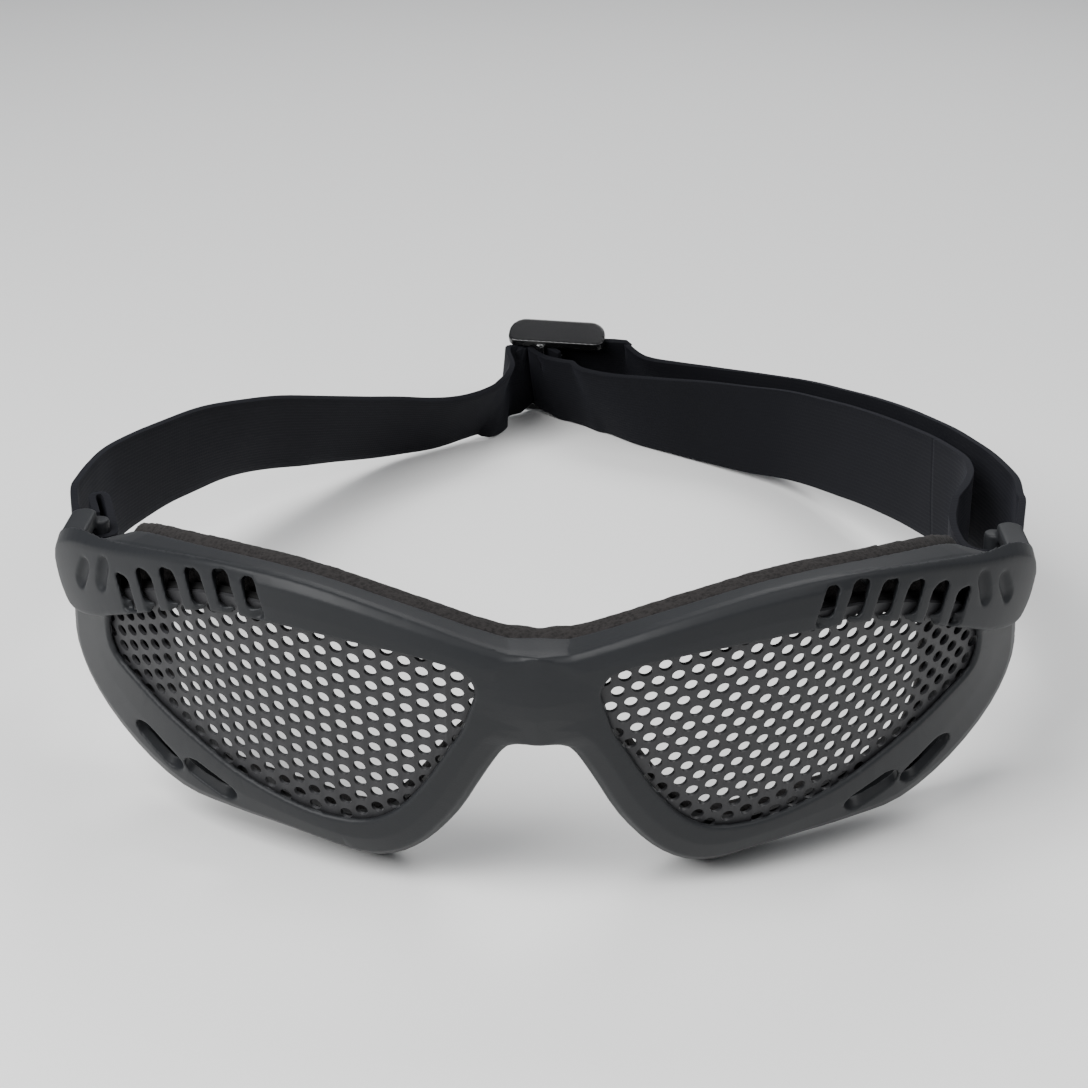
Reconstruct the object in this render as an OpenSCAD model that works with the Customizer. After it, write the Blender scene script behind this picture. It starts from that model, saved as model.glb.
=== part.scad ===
/* [Frame] */
// Tilt of the lens face on the table
lens_tilt = 15.7; // [14.5:0.1:17]
// Height of the lens reference line above the table
lens_ref_z = 38; // [37:0.5:40]
// Radius of the lens sheet in plan
lens_r = 105; // [101:1:110]
// How far each lens arc is centred past the middle line
lens_cross = 5; // [4:0.5:6]
// Distance from the middle where the nose arc meets the lens arc
nose_half = 12.4; // [11:0.2:14]
// Wall of the moulding
wall = 2.2; // [1.8:0.1:2.4]
// How far the lip stands in front of the lens sheet
lip_front = 1.5; // [1.3:0.1:1.8]
// Width of the seat behind the lip
seat_w = 3.2; // [2.9:0.1:3.5]
// Thickness of the wall in front of the seat
lip_wall = 0.9; // [0.7:0.1:1]
// Thickness of the foam flange as a share of the skirt
flange_share = 0.25; // [0.15:0.05:0.35]
// How far the brow band stands in front of the moulding
band_raise = 0.6; // [0.4:0.1:1]

/* [Mesh] */
// Thickness of the perforated sheet
mesh_t = 0.6; // [0.4:0.1:0.7]
// Diameter of a hole in the sheet
hole_d = 2; // [1.6:0.1:2.2]
// Distance between hole centres
hole_pitch = 3; // [2.8:0.1:3.5]
// Turn of the hole rows in the wearer's right lens
rows_turn_right = 30; // [0:1:59]
// Turn of the hole rows in the wearer's left lens
rows_turn_left = 11; // [0:1:59]
// Thickness of the ring behind the sheet
retainer_t = 1.2; // [0.8:0.1:1.4]
// Clearance round the sheet and its ring in the seat
seat_gap = 0.5; // [0.45:0.05:0.8]

/* [Foam] */
// Thickness of the face foam
foam_t = 5; // [3.5:0.5:6]
// Width of the foam as a multiple of the flange it is glued to
foam_share = 1.45; // [1.2:0.05:1.55]

/* [Vents] */
// Width of a brow slot
slot_w = 2.6; // [2:0.1:3]
// Length of a brow slot
slot_len = 5.6; // [4.6:0.2:6]
// Length of the shallow step under a brow slot
slot_step = 1.3; // [0.8:0.1:1.6]
// Width of a lower vent
oval_w = 4.2; // [3:0.2:4.6]
// Length of a lower vent
oval_len = 9; // [7:0.5:10]
// Radius of the rounded dents beside the brow slots
dent_r = 1.5; // [1.3:0.1:1.7]
// How far the middle of a dent's curve stands in front of the band
dent_lift = 0.7; // [0.6:0.1:0.9]

/* [Strap bars] */
// Distance of a strap bar from the middle plane
bar_x = 72.4; // [72:0.1:73]
// Distance of a strap bar behind the lens sheet's surface
bar_back = 17; // [16.6:0.1:17.6]
// Radius of a strap bar
bar_r = 1.7; // [1.4:0.1:1.8]
// Width of the ears that hold a bar
ear_w = 4; // [3.8:0.1:4.4]
// How far the upper ear stands out beyond the bar
ear_out = 2.2; // [1.6:0.1:2.6]
// Thickness of an ear
ear_t = 2.4; // [2:0.1:2.8]
// How much the lower ear's arm is narrower on its outer side
ear_slim = 1.4; // [1:0.1:1.6]

/* [Strap] */
// Width of the elastic
strap_w = 20; // [17:0.5:20]
// Thickness of the elastic
strap_t = 1.3; // [1:0.1:1.4]
// Thickness of a ply of the sewn tab
tab_t = 1.2; // [1:0.1:1.3]
// Length of the sewn tab
tab_len = 6; // [5:0.2:6.4]
// Clearance between two layers of webbing
layer_gap = 0.35; // [0.3:0.05:0.5]
// Clearance between the elastic's edges and an ear or the slider's rails
edge_gap = 0.3; // [0.25:0.05:0.6]

/* [Slider] */
// Length of the slider along the strap
slider_len = 23; // [22:0.5:24]
// Height of a rail
rail_h = 2; // [1.8:0.1:2.2]
// Thickness of an outer bar
side_bar_w = 2.6; // [2.2:0.1:2.8]
// Height at which the webbing carries the slider's lowest edge above the table
slider_lift = 0.3; // [0.2:0.1:0.6]
// Radius of a rail's outer corners
corner_r = 4; // [3.6:0.1:4.2]
// Turn of the slider seen from above
slider_turn = -9; // [-12:1:-6]
// Lean of the slider towards the lenses
slider_lean = 30; // [26:1:32]

/* [Hidden] */
nose_r = nose_half * lens_r / (nose_half + lens_cross);
nose_w = nose_r - sqrt(nose_r * nose_r - nose_half * nose_half);
lens_w = nose_w + sqrt(lens_r * lens_r - pow(nose_half + lens_cross, 2));
function base_w(x) = x < nose_half ? nose_r - sqrt(nose_r * nose_r - x * x)
    : lens_w - sqrt(lens_r * lens_r - pow(x + lens_cross, 2));
function base_sin(x) = x < nose_half ? x / nose_r : (x + lens_cross) / lens_r;
function clean(x) = x < 0.6 ? 0 : x;
function off_w(x, h, d) = [clean(x), base_w(max(0, x)) + d, h];
function off_r(x, h, d) = let (s = base_sin(max(0, x)))
    [clean(x - d * s), base_w(max(0, x)) + d * sqrt(1 - s * s), h];
// Rows round one eye: lip x h, crest x h and offset, rear edge x h and offset, flange angle and width
keys = [
    [9.0, 1.5, 0, 0, -1.5, 0, 0, 1.6, 0, 2.6],
    [9.9, 4.3, 0, 7.6, -0.2, 0, 5.9, 6, -66, 4],
    [11.4, 5.4, 4, 8.3, 0, 4.4, 6.5, 6, -78, 4],
    [14.6, 6.4, 10, 10, 0.3, 10.4, 8.2, 6, -80, 4.5],
    [19.8, 7.1, 17.6, 12.2, 0.6, 18, 10.3, 6, -80, 5],
    [28.7, 7.4, 29, 14.4, 0.8, 29.5, 12.4, 6, -86, 5.5],
    [37.2, 7.0, 38.5, 14.6, 0.8, 38.5, 12.5, 6, -95, 5.5],
    [45.5, 5.6, 47, 13.0, 0.8, 46.5, 11.2, 6.3, -104, 5.5],
    [52.5, 2.7, 56, 10.2, 0.8, 55, 8.2, 7.5, -115, 5.5],
    [59.5, -1.6, 66, 5.4, 0.8, 61.5, 4.6, 9, -125, 5.5],
    [65.2, -6.2, 75, -3, 0.8, 65.5, -1, 11, -145, 5],
    [66.4, -10.5, 76, -14, 0.8, 67, -10, 12, -175, 5],
    [65.8, -14.8, 76.6, -23.5, 0.8, 67.3, -21, 12.3, -190, 5],
    [62.3, -17.5, 73.5, -30.6, 0.8, 66.6, -31, 11.5, -212, 5],
    [57.7, -20.4, 66.3, -35.8, 0.8, 63.4, -38.8, 10, -234, 5.5],
    [52.4, -23.1, 57.7, -38.4, 0.8, 58, -43.8, 9, -252, 5.5],
    [46.5, -25.9, 49.5, -37.2, 0.8, 50.2, -44.8, 8.5, -266, 5.5],
    [40.5, -27.6, 41.3, -36.2, 0.8, 42, -43.8, 8, -270, 5.5],
    [34.5, -28.6, 33.7, -36.3, 0.8, 34.5, -43.6, 8, -270, 5.5],
    [29.0, -28.4, 27.5, -36.8, 0.8, 28, -43.9, 8, -272, 5.5],
    [24.6, -26.9, 22.4, -35.6, 0.8, 22.8, -42.2, 8, -290, 5.5],
    [20.6, -23.3, 17.2, -31.5, 0.8, 17.5, -37.6, 8, -310, 5],
    [16.6, -17.2, 11.9, -24.0, 0.8, 12.3, -30.4, 8, -325, 5],
    [12.9, -9.8, 7.6, -15.0, 0.6, 8, -21, 7.5, -325, 4.5],
    [11.0, -6.0, 4.2, -9.4, 0.3, 4.6, -14.2, 7, -290, 4],
    [10.0, -2.5, 0, -8.4, 0, 0, -12.6, 6.5, -294, 4],
];
count = len(keys);
steps = 3;
function key(i) = let (j = (i % count + count) % count, k = keys[j], turns = floor(i / count))
    [for (c = [0:9]) c == 8 ? k[c] - 360 * turns : k[c]];
function spline(a, b, c, d, t) = 0.5 * (2 * b + (c - a) * t + (2 * a - 5 * b + 4 * c - d) * t * t
    + (3 * b - a - 3 * c + d) * t * t * t);
function row(s) = let (i = floor(s), t = s - i)
    t == 0 ? key(i) : spline(key(i - 1), key(i), key(i + 1), key(i + 2), t);
function along(p, s) = let (n = len(p), i = min(floor(s), n - 2), t = s - i)
    spline(p[max(0, i - 1)], p[i], p[i + 1], p[min(n - 1, i + 2)], t);
function lip_at(s) = let (r = row(s)) [r[0], r[1]];
function unit(v) = v / norm(v);
function lip_out(s) = let (d = unit(lip_at(s + 0.25) - lip_at(s - 0.25))) [-d[1], d[0]];
function at_mid(x) = x < 1.1 ? 0 : x;
function profile(s) = let (r = row(s), lip = [r[0], r[1]], n = lip_out(s), crest = [at_mid(r[2]), r[3]],
    rear = [at_mid(r[5]), r[6]], in = [cos(r[8]), sin(r[8])], fl = r[9], mid = crest[0] == 0,
    th = flange_share * (r[7] - r[4]),
    a = lip + 0.4 * (crest - lip), b = lip + 0.8 * (crest - lip), c = crest + 0.25 * (rear - crest),
    m = crest + 0.6 * (rear - crest), fi = [r[5], r[6]] + fl * in, si = [r[5], r[6]] + wall * in,
    ci = [r[2], r[3]] + wall * in,
    seat = lip + seat_w * n,
    offs = [min(-0.5 - lip_wall, -lip_front + 0.4 * (r[4] + lip_front) - 0.25),
        min(-0.5, -lip_front + 0.8 * (r[4] + lip_front) - 0.35)],
    co = r[4] + 0.25 * (r[7] - r[4]),
    edge = mid ? crest : 0.2 * b + 0.6 * crest + 0.2 * c)
    [off_r(lip[0], lip[1], -0.8),
     off_r(lip[0] + 0.35 * n[0], lip[1] + 0.35 * n[1], -lip_front),
     off_w(a[0], a[1], offs[0]),
     off_w(b[0], b[1], offs[1]),
     off_w(edge[0], edge[1], mid ? offs[1] : 0.2 * offs[1] + 0.6 * r[4] + 0.2 * co),
     off_w(c[0], c[1], co),
     off_w(m[0], m[1], r[4] + 0.6 * (r[7] - r[4])),
     off_w(rear[0], rear[1], r[7]),
     off_w(fi[0], fi[1], r[7]),
     off_w(fi[0], fi[1], r[7] - th),
     off_w(si[0], si[1], r[7] - th - 0.1),
     off_w(ci[0], ci[1], r[4] + wall),
     off_r(seat[0], seat[1], -0.5),
     off_r(lip[0] + 0.15 * n[0], lip[1] + 0.15 * n[1], -0.5)];
ring = [for (i = [0:count * steps - 1]) each profile(i / steps)];
// Stations of the brow band: lower x h, upper x h, front offsets low and high, back offsets low and high
band_keys = [
    [34, 11.8, 34, 13.6, 1.1, 1.8, 1.4, 2.2],
    [40, 7.2, 40, 13.9, -0.95, 0.95, -0.9, 1.5],
    [45, 6.1, 45.5, 13.3, -1.2, 0.7, -0.9, 1.4],
    [50, 4.3, 51, 11.9, -1.4, 0.4, -0.95, 1.4],
    [55, 1.6, 57, 9.7, -1.6, 0.2, -1, 1.4],
    [60, -1.9, 62.5, 7.1, -1.8, 0, -1.05, 1.6],
    [64.5, -5.2, 67.5, 4.6, -2.1, -0.3, -1.1, 2.2],
    [69, -8.8, 72, 2.2, -2.3, -0.5, -1.1, 3],
    [72.5, -11.4, 75, -0.4, -2, -0.6, 1.8, 3],
    [75, -12.4, 76.9, -3.2, -1.4, -0.4, 2.4, 3],
    [76.6, -10.6, 77.6, -6, -0.6, 0, 2.2, 2.6],
];
band_n = 3 * (len(band_keys) - 1);
function band_row(s) = let (k = along(band_keys, s), l = [k[0], k[1]], u = [k[2], k[3]], v = u - l,
    fl = k[4] - band_raise, fu = k[5] - band_raise)
    [off_w(l[0] + 0.3 * v[0], l[1] + 0.3 * v[1], k[6]), off_w(l[0], l[1], k[6]), off_w(l[0], l[1], fl + 0.5),
     off_w(l[0] + 0.07 * v[0], l[1] + 0.07 * v[1], fl),
     off_w(l[0] + 0.35 * v[0], l[1] + 0.35 * v[1], 0.65 * fl + 0.35 * fu - 0.25),
     off_w(l[0] + 0.68 * v[0], l[1] + 0.68 * v[1], 0.32 * fl + 0.68 * fu - 0.25),
     off_w(l[0] + 0.93 * v[0], l[1] + 0.93 * v[1], fu), off_w(u[0], u[1], fu + 0.5),
     off_w(u[0], u[1], k[7])];
band = [for (i = [0:band_n]) each band_row(i / 3)];
// Brow vents: x, h and share of the full slot
slots = [[41.5, 10.7, 0.82], [45.8, 9.7, 1], [50.3, 8, 1], [54.6, 5.9, 1], [58.8, 3.4, 1],
    [62.9, 0.7, 0.82]];
slot_turn = -14;
ovals = [[60.5, -30.2, 35], [51.6, -31.2, 20]];
// Dents: upper and lower end, each x, h and offset from a band with no raise
dents = [[[66.6, 2.6, -0.6], [67.5, -1.3, -1.55]], [[70.4, -0.2, -1], [71.7, -4.1, -1.6]]];
function dent_at(p) = let (s = base_sin(p[0]))
    [p[0] + dent_lift * s, base_w(p[0]) + p[2] - band_raise - dent_lift * sqrt(1 - s * s), p[1]];
bar_y = base_w(bar_x) * cos(lens_tilt) + bar_back;
bar_z = lens_ref_z - 4.7;
tilt_r = 22;
// The slider's own frame: u along the strap, v outwards, w up the strap's width
slider_in = strap_w + 2 * edge_gap;
half_in = slider_in / 2;
fold_r = (strap_t + tab_t) / 2 + layer_gap;
core_v = -(strap_t + tab_t) / 2 - layer_gap - fold_r;
side_v = strap_t / 2 + edge_gap + side_bar_w / 2;
rail_in = core_v - 0.6;
rail_out = side_v + side_bar_w / 2;
slider_x = 0.3;
slider_y = 236.9;
slider_z = (half_in + rail_h) * cos(slider_lean) - rail_in * sin(slider_lean) + slider_lift;
tab_turn = -30;
function slid(u, v, w = 0) = let (q = v * cos(slider_lean) - w * sin(slider_lean))
    [slider_x + u * cos(slider_turn) - q * sin(slider_turn),
     slider_y + u * sin(slider_turn) + q * cos(slider_turn),
     slider_z + v * sin(slider_lean) + w * cos(slider_lean), slider_lean, 1];
fold_u = -4.7;
// A point beside the head: x, distance behind the bars, height, lean, share of the slider's own direction
reach = (slider_y - bar_y) / (slider_y - 49.5);
function beside(x, d, z, lean, share = 0) = [x + sign(x) * (bar_x - 72.4) * max(0, 1 - d / 120),
    bar_y + d * reach, z, lean, share];
long_path = [beside(-80.5, 16, 33.3, 0), beside(-81, 24, 33, 0), beside(-81.45, 35, 32, 2),
    beside(-80.9, 50, 30.4, 6), beside(-77.8, 66, 28.6, 12), beside(-71.3, 85, 26.6, 18),
    beside(-61.5, 105.5, 22.9, 28), beside(-50, 124, 17.5, 33), beside(-40.5, 139.5, 12.8, 36),
    beside(-32.5, 149.5, 10, 38), beside(-25, 156, 8.8, 39),
    beside(-18.2, 162.4, 8.8, 38, 0.2), beside(-14.1, 168, 9.9, 32, 0.6), slid(-11.4, -9, 2),
    slid(-9, -5.2, -0.1), slid(-8, -2.9), slid(-6.5, -0.7), slid(-4.2, 0), slid(0, 0), slid(5, 0),
    slid(9.5, 0), slid(12.5, 0), slid(14.6, 0), slid(16.4, -0.4, -0.4),
    beside(22.5, 179, 10.7, 30, 0.5), beside(30.5, 171.8, 10.3, 21), beside(38.5, 163.6, 10.8, 10),
    beside(46.5, 154, 12.2, 2), beside(55, 141.5, 14.7, 0), beside(63, 124, 18.1, 0), beside(70.3, 103.5, 22, 0),
    beside(76.4, 80.5, 25.8, 0), beside(80.6, 57.5, 29, 0), beside(81.95, 38, 31.4, 0), beside(80.9, 24, 32.9, 0),
    beside(80.1, 16, 33.3, 0)];
inner_path = [beside(5, 176, 9.5, 29, 1), beside(8.6, 171.6, 9.5, 29, 0.4), beside(15.5, 165.2, 9.7, 24),
    beside(24.5, 159.2, 10.2, 16), beside(34, 153.8, 10.6, 6), beside(42.8, 146.6, 11.5, 0),
    beside(51.2, 136, 13.9, 0), beside(59, 119.4, 17.2, 0), beside(66.2, 99, 21.2, 0), beside(72.2, 78, 24.8, 0),
    beside(75.6, 58.5, 28, 0), beside(75.2, 43, 30.6, 0), beside(72.6, 31, 32.3, 0), beside(69.6, 22, 33.2, 0),
    beside(67.2, 13, 33.3, 0)];
// A point near a strap bar: distance from the bar sideways and backwards
function by_bar(side, x, y) = [side * (bar_x + x), bar_y + y, bar_z, 0, 0];
loop_path = [by_bar(1, 8.6, 25), by_bar(1, 8.1, 20), by_bar(1, 6.8, 14), by_bar(1, 5.5, 8.5), by_bar(1, 3.7, 2.6),
    by_bar(1, 2.5, -1.1), by_bar(1, 0, -2.8), by_bar(1, -2.9, -2.6), by_bar(1, -4.7, -0.2), by_bar(1, -5.4, 5.5),
    by_bar(1, -5, 12), by_bar(1, -3.6, 18.5), by_bar(1, -1.6, 25)];
end_path = [by_bar(-1, 8.9, 25), by_bar(-1, 8.3, 20), by_bar(-1, 7.3, 15), by_bar(-1, 6.1, 10.5),
    by_bar(-1, 4.6, 6), by_bar(-1, 3.2, 2.2), by_bar(-1, 2.3, -1.2), by_bar(-1, 0, -2.7), by_bar(-1, -2.3, -1.4),
    by_bar(-1, -2.3, 1.6), by_bar(-1, -1.2, 5.2), by_bar(-1, 0, 9), by_bar(-1, 1.1, 12.8), by_bar(-1, 2, 15.6),
    by_bar(-1, 2.9, 17.1), by_bar(-1, 4.1, 16.6), by_bar(-1, 4.2, 14.9), by_bar(-1, 3.2, 11.6),
    by_bar(-1, 2.1, 8)];
function cut_corner(w, t) = [[t / 2, w / 2 - 0.4], [t / 2, 0.4 - w / 2], [t / 2 - 0.4, -w / 2],
    [0.4 - t / 2, -w / 2], [-t / 2, 0.4 - w / 2], [-t / 2, w / 2 - 0.4], [0.4 - t / 2, w / 2],
    [t / 2 - 0.4, w / 2]];
function station(path, s, sec) = let (p = along(path, s), q = along(path, min(len(path) - 1, s + 0.05))
    - along(path, max(0, s - 0.05)), t = unit([q[0], q[1], q[2]]),
    inward = unit((1 - p[4]) * unit([q[1], -q[0], 0]) + p[4] * [sin(slider_turn), -cos(slider_turn), 0]),
    up0 = cos(p[3]) * [0, 0, 1] + sin(p[3]) * inward, th = unit(cross(up0, t)), up = cross(t, th))
    [for (c = sec) [p[0], p[1], p[2]] + c[0] * th + c[1] * up];
function ribbon(path, n) = [for (i = [0:n * (len(path) - 1)])
    each station(path, i / n, cut_corner(strap_w, strap_t))];
long_ribbon = ribbon(long_path, 4);
function face_y(p) = p[1] * cos(lens_tilt) - p[2] * sin(lens_tilt);
front_y = min(min([for (p = ring) face_y(p)]), min([for (p = band) face_y(p)]));
back_reach = corner_r * norm([sin(slider_turn), cos(slider_lean) * cos(slider_turn)])
    + (half_in + rail_h) * sin(slider_lean) * cos(slider_turn);
back_y = max(max([for (p = long_ribbon) p[1]]), max([for (u = [-1, 1])
    slid(u * (slider_len / 2 - corner_r), rail_out - corner_r)[1] + back_reach]));
shift_y = -(front_y + back_y) / 2;
module placed() {
    translate([0, shift_y, 0]) children();
}
module faced() {
    translate([0, 0, lens_ref_z]) rotate([lens_tilt, 0, 0]) children();
}
module both() {
    children();
    mirror([1, 0, 0]) children();
}
function tube_faces(n, m, closed) = [for (i = [0:n - (closed ? 1 : 2)], j = [0:m - 1])
    let (a = i * m + j, b = i * m + (j + 1) % m, c = ((i + 1) % n) * m + (j + 1) % m, d = ((i + 1) % n) * m + j)
    each [[a, b, c], [a, c, d]]];
function cap_faces(n, m) = [[for (j = [m - 1:-1:0]) j], [for (j = [0:m - 1]) (n - 1) * m + j]];
function flat_mid(pts, f) = pts[f[0]][0] == 0 && pts[f[1]][0] == 0 && pts[f[2]][0] == 0;
module mirrored_shell(pts, faces) {
    n = len(pts);
    all_pts = concat(pts, [for (p = pts) [-p[0], p[1], p[2]]]);
    kept = [for (f = faces) if (!flat_mid(pts, f)) f];
    other = [for (f = kept) [for (k = [2, 1, 0]) pts[f[k]][0] == 0 ? f[k] : f[k] + n]];
    polyhedron(all_pts, concat(kept, other));
}
module capped(pts, m) {
    n = len(pts) / m;
    polyhedron(pts, concat(tube_faces(n, m, false), cap_faces(n, m)));
}
module slot_shape(len, w) {
    r = 0.35 * w;
    for (x = [-1, 1], y = [-1, 1])
        translate([x * (w / 2 - r), y * (len / 2 - r)]) circle(r = r, $fn = 24);
    square([w, len - 2 * r], center = true);
    square([w - 2 * r, len], center = true);
}
module oval_shape(len, w) {
    for (s = [-1, 1])
        translate([0, s * (len - w) / 2]) circle(d = w, $fn = 32);
    square([w, len - w], center = true);
}
module along_w(x, h, turn, front, back) {
    translate([x, base_w(x) + back, h]) rotate([90, 0, 0]) rotate([0, 0, turn])
        linear_extrude(back - front) children();
}
module dent(p, q) {
    v = q - p;
    translate(p) sphere(r = dent_r, $fn = 40);
    translate(q) sphere(r = dent_r, $fn = 40);
    translate(p) rotate([0, acos(v[2] / norm(v)), atan2(v[1], v[0])])
        cylinder(r = dent_r, h = norm(v), $fn = 40);
}
module ear(x, z, slim = 0) {
    translate([x, 0, z]) {
        translate([-ear_w / 2, bar_y - 8.5, 0]) cube([ear_w - slim, 7.9, ear_t]);
        translate([0, bar_y - 0.6, 0]) cylinder(d = ear_w, h = ear_t, $fn = 40);
    }
}
module frame() {
    color([0.16, 0.16, 0.17])
    placed() difference() {
        union() {
            faced() mirrored_shell(ring, tube_faces(count * steps, 14, true));
            both() faced() capped(band, 9);
            both() {
                ear(bar_x + ear_out, bar_z + strap_w / 2 + edge_gap + 0.7);
                ear(bar_x, bar_z - strap_w / 2 - edge_gap - 0.2 - ear_t, ear_slim);
                translate([bar_x, bar_y, bar_z - strap_w / 2 - 1.5])
                    cylinder(r = bar_r, h = strap_w + 3.5, $fn = 40);
            }
        }
        both() faced() {
            for (s = slots) {
                along_w(s[0], s[1], slot_turn, -8, 2.4) slot_shape(slot_len * s[2], slot_w * s[2]);
                along_w(s[0], s[1], slot_turn, -8, -1.5) translate([0, -slot_step / 2])
                    slot_shape(slot_len * s[2] + slot_step, slot_w * s[2] + 0.3);
            }
            for (o = ovals)
                along_w(o[0], o[1], 90 + o[2], -8, 4) oval_shape(oval_len, oval_w);
            for (d = dents)
                dent(dent_at(d[0]), dent_at(d[1]));
        }
        translate([-100, -20, -10]) cube([200, 100, 10]);
    }
}
// Outline of an eye opening, moved outwards by a margin
function outline(m) = [for (i = [0:count * 2 - 1]) lip_at(i / 2) + m * lip_out(i / 2)];
function crosses(p, a, b) = (a[1] > p[1]) != (b[1] > p[1])
    && p[0] < (b[0] - a[0]) * (p[1] - a[1]) / (b[1] - a[1]) + a[0];
function inside(p, o) = len([for (i = [0:len(o) - 1]) if (crosses(p, o[i], o[(i + 1) % len(o)])) i]) % 2 == 1;
module through() {
    translate([0, 48, 0]) rotate([90, 0, 0]) linear_extrude(60) children();
}
module lens_band(front, back) {
    translate([-lens_cross, lens_w, -40]) difference() {
        cylinder(r = lens_r - front, h = 60, $fn = 240);
        translate([0, 0, -1]) cylinder(r = lens_r - back, h = 62, $fn = 240);
    }
}
cover = outline(0.6);
function hole_x(a) = lens_r * sin(a * 180 / PI / lens_r) - lens_cross;
function lattice(turn) = [for (i = [-34:34], j = [-34:34])
    let (u = hole_pitch * (i + j / 2), v = hole_pitch * j * sqrt(3) / 2,
         a = 40 + u * cos(turn) - v * sin(turn), h = -10 + u * sin(turn) + v * cos(turn))
    if (a > 10 && a < 84 && h > -31 && h < 10 && inside([hole_x(a), h], cover)) [a, h]];
module mesh_sheet(turn) {
    color([0.13, 0.13, 0.14])
    faced() difference() {
        intersection() {
            lens_band(-mesh_t / 2, mesh_t / 2);
            through() polygon(outline(seat_w - seat_gap));
        }
        for (p = lattice(turn))
            translate([-lens_cross, lens_w, p[1]]) rotate([0, 0, p[0] * 180 / PI / lens_r])
            translate([0, -lens_r, 0]) rotate([90, 0, 0]) cylinder(d = hole_d, h = 3, center = true, $fn = 24);
    }
}
module right_mesh_lens() {
    placed() mirror([1, 0, 0]) mesh_sheet(rows_turn_right);
}
module left_mesh_lens() {
    placed() mesh_sheet(rows_turn_left);
}
module retainer() {
    color([0.1, 0.1, 0.1])
    faced() intersection() {
        lens_band(mesh_t / 2 + 0.15, mesh_t / 2 + 0.15 + retainer_t);
        through() difference() {
            polygon(outline(seat_w - seat_gap));
            polygon(outline(0.4));
        }
    }
}
module right_lens_retainer() {
    placed() mirror([1, 0, 0]) retainer();
}
module left_lens_retainer() {
    placed() retainer();
}
function foam_row(s) = let (r = row(s), rear = [r[5], r[6]],
    in = s <= 1 ? [0, -1] : s >= count - 1 ? [0, 1] : [cos(r[8]), sin(r[8])],
    fw = foam_share * r[9], base = r[7] + 0.15)
    [for (c = [[0.8, 0.75], [2.1, 0.98], [(fw + 1) / 2, 1.06], [fw - 1.3, 0.98], [fw + 0.1, 0.78],
        [fw + 0.3, 0.3], [fw, 0], [1, 0]])
        off_w(rear[0] + c[0] * in[0], rear[1] + c[0] * in[1], base + c[1] * foam_t)];
module face_foam() {
    n = 2 * (count - 2);
    color([0.2, 0.19, 0.18])
    placed() faced() mirrored_shell([for (i = [0:n]) each foam_row(1 + i / 2)], tube_faces(n + 1, 8, false));
}
module tilt_drum(gap) {
    translate([-100, bar_y, bar_z]) rotate([0, 90, 0]) cylinder(r = tilt_r - gap, h = 200, $fn = 96);
}
module strap_end(path, n) {
    color([0.07, 0.07, 0.09])
    placed() intersection() {
        capped(ribbon(path, n), 8);
        tilt_drum(0.3);
    }
}
module right_strap_end() {
    strap_end(end_path, 4);
}
module left_strap_loop() {
    strap_end(loop_path, 4);
}
module strap_long_run() {
    color([0.07, 0.07, 0.09])
    placed() difference() {
        capped(long_ribbon, 8);
        tilt_drum(0);
    }
}
module strap_inner_run() {
    color([0.07, 0.07, 0.09])
    placed() difference() {
        capped(ribbon(inner_path, 4), 8);
        tilt_drum(0);
    }
}
// Bar tack as one zigzag of thread lying on the webbing
module zigzag(len, w, pitch) {
    n = floor(len / pitch);
    linear_extrude(0.3)
        polygon(concat([for (i = [0:n]) [i % 2 == 0 ? 0 : w, i * len / n]],
            [for (i = [n:-1:0]) [(i % 2 == 0 ? 0 : w) + 0.6, i * len / n]]));
}
module end_stitching() {
    color([0.05, 0.05, 0.06])
    placed() translate([-bar_x - 0.4, bar_y + 10.4, bar_z - 0.4 * strap_w]) rotate([0, 0, 16])
    translate([strap_t / 2 + 0.12, 0, 0]) rotate([90, 0, 90]) zigzag(0.8 * strap_w, 1.4, 0.8);
}
module slider_placed() {
    placed() translate([slider_x, slider_y, slider_z]) rotate([0, 0, slider_turn])
        rotate([slider_lean, 0, 0]) children();
}
module rounded(w0, w1, v0, v1, r) {
    translate([w0 + r, v0]) square([w1 - w0 - 2 * r, v1 - v0]);
    translate([w0, v0 + r]) square([w1 - w0, v1 - v0 - 2 * r]);
    for (x = [w0 + r, w1 - r], y = [v0 + r, v1 - r])
        translate([x, y]) circle(r = r, $fn = 40);
}
module slider() {
    half = slider_len / 2;
    bar_h = fold_r - tab_t / 2 - 0.2;
    color([0.04, 0.04, 0.04])
    slider_placed() {
        for (w = [-half_in - rail_h, half_in])
            translate([0, 0, w]) linear_extrude(rail_h) intersection() {
                rounded(-half, half, rail_in, rail_out, 1.9);
                rounded(-half, half, rail_in - 9, rail_out, corner_r);
            }
        for (s = [-1, 1])
            translate([s * (half - 3.5), side_v, -half_in - rail_h / 2])
                cylinder(d = side_bar_w, h = slider_in + rail_h, $fn = 40);
        translate([fold_u, core_v, -half_in - rail_h / 2]) rotate([0, 0, tab_turn])
            linear_extrude(slider_in + rail_h) rounded(-0.8, 2.4, -bar_h, bar_h, 0.75);
    }
}
module slider_tab() {
    color([0.07, 0.07, 0.09])
    slider_placed() translate([fold_u, core_v, -strap_w / 2]) rotate([0, 0, tab_turn])
    linear_extrude(strap_w) {
        for (s = [-1, 1])
            translate([1.2, s * fold_r - tab_t / 2]) square([tab_len - 1.2, tab_t]);
        translate([0, 0]) difference() {
            union() {
                circle(r = fold_r + tab_t / 2, $fn = 48);
                translate([0, -fold_r - tab_t / 2]) square([1.3, 2 * fold_r + tab_t]);
            }
            circle(r = fold_r - tab_t / 2, $fn = 48);
            translate([0, -fold_r + tab_t / 2]) square([3, 2 * fold_r - tab_t]);
        }
    }
}
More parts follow.
